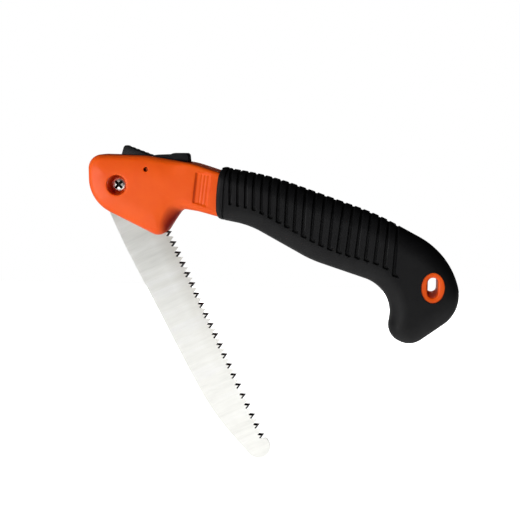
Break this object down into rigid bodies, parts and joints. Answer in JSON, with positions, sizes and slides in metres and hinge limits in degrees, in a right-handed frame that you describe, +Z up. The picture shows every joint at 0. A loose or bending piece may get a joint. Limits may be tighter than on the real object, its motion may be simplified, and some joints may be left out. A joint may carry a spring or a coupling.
{
  "type": "folding pruning saw",
  "caption": "Folding pruning saw: toothed blade hinged in a two-part hooked handle, with a lock lever on top and a lanyard hole in the butt.",
  "frame": {"origin": "middle of the soft grip, on the plane of the blade, where the hand closes round it", "axes": "+X along the handle from the blade's pivot towards the hooked butt, +Y through the thickness, from the screw's side to the nut's side, +Z up with the lock lever on top"},
  "size_m": [0.2481, 0.028, 0.2168],
  "materials": {
    "orange_nylon": "satin moulded nylon, softly glossy",
    "black_grip": "matte soft-touch elastomer",
    "blade_steel": "bright, ground across the blade",
    "plated_steel": "bright zinc plate",
    "bronze": "rolled",
    "dark_steel": "oiled, dark",
    "black_plastic": "fine matte moulding",
    "spring_steel": "drawn wire"
  },
  "bodies": {
    "handle": {"handle_core": "orange_nylon", "grip_overmold": "black_grip", "pivot_sleeve": "plated_steel", "thrust_washer_left": "bronze", "thrust_washer_right": "bronze", "screw_washer": "plated_steel", "nut_washer": "plated_steel", "pivot_screw": "plated_steel", "pivot_nut": "plated_steel", "lock_pin": "dark_steel", "lock_spring": "spring_steel"},
    "blade": {"blade": "blade_steel"},
    "lever": {"lock_lever": "black_plastic", "lock_pawl": "dark_steel"}
  },
  "joints": [
    {"name": "blade_pivot", "type": "hinge", "parent": "handle", "child": "blade", "pos_m": [-0.135, 0, 0.027], "axis": [0, 1, 0], "range_deg": [-49.3, 115.5]},
    {"name": "lock_lever_pivot", "type": "hinge", "parent": "handle", "child": "lever", "pos_m": [-0.1148, 0, 0.0376], "axis": [0, 1, 0], "range_deg": [0, 6], "stiffness_Nm_per_rad": 0.3, "springref_deg": -14.32, "deforming": ["lock_spring"]}
  ]
}
